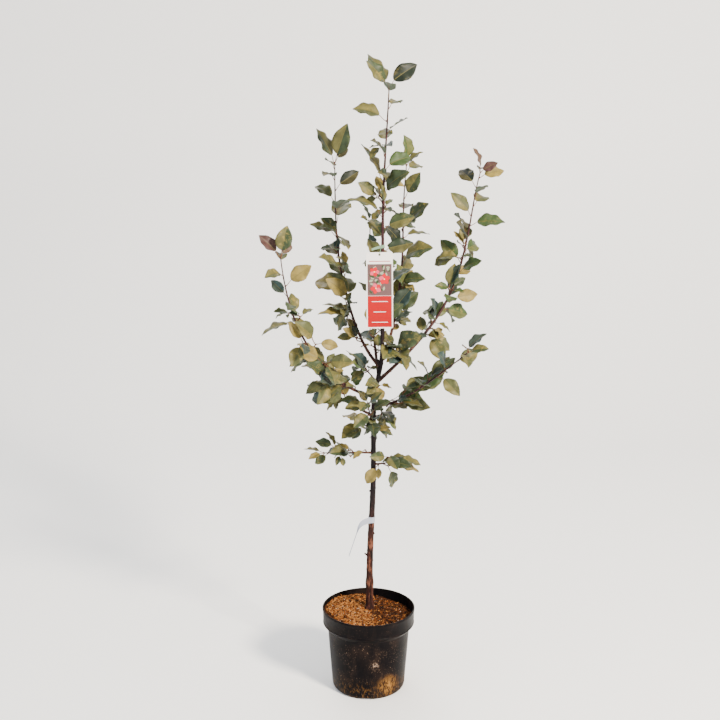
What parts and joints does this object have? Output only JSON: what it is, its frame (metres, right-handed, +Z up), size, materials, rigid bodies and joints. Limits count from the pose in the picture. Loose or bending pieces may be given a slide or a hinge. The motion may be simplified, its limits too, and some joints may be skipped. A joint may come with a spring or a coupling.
{
  "type": "potted dwarf apple tree",
  "caption": "Young dwarf apple tree with an upright open crown, standing in a round black nursery pot of bark compost, with a blank hanging picture tag.",
  "frame": {"origin": "middle of the pot's flat underside, on the ground", "axes": "+Z up along the trunk, -Y towards the side that the picture shows, +X to its right"},
  "size_m": [0.663, 0.4937, 1.7831],
  "materials": {
    "pot_plastic": "dusty black moulded plastic",
    "compost": "loose bark and wood fibre",
    "bark": "young bark, satin above and flaking at the foot",
    "foliage": "leaves with a faint sheen on the upper side",
    "tag_card": "printed plastic card",
    "tie_plastic": "soft green plastic",
    "label_plastic": "thin pale plastic strip"
  },
  "bodies": {
    "root": {"back_bough": "bark", "back_leaves": "foliage", "compost": "compost", "far_left_bough": "bark", "far_left_leaves": "foliage", "far_right_bough": "bark", "far_right_leaves": "foliage", "fork_left_leaves": "foliage", "fork_right_leaves": "foliage", "front_bough": "bark", "front_leaves": "foliage", "hang_tag": "tag_card", "leader_leaves": "foliage", "low_left_bough": "bark", "low_left_leaves": "foliage", "low_right_bough": "bark", "low_right_leaves": "foliage", "lower_left_bough": "bark", "lower_left_leaves": "foliage", "lower_right_bough": "bark", "lower_right_leaves": "foliage", "pot": "pot_plastic", "spur_back_leaves": "foliage", "spur_front_leaves": "foliage", "spur_left_leaves": "foliage", "spur_right_leaves": "foliage", "tag_tie": "tie_plastic", "trunk": "bark", "trunk_label": "label_plastic", "upper_left_bough": "bark", "upper_left_leaves": "foliage", "upper_right_bough": "bark", "upper_right_leaves": "foliage"}
  },
  "joints": []
}
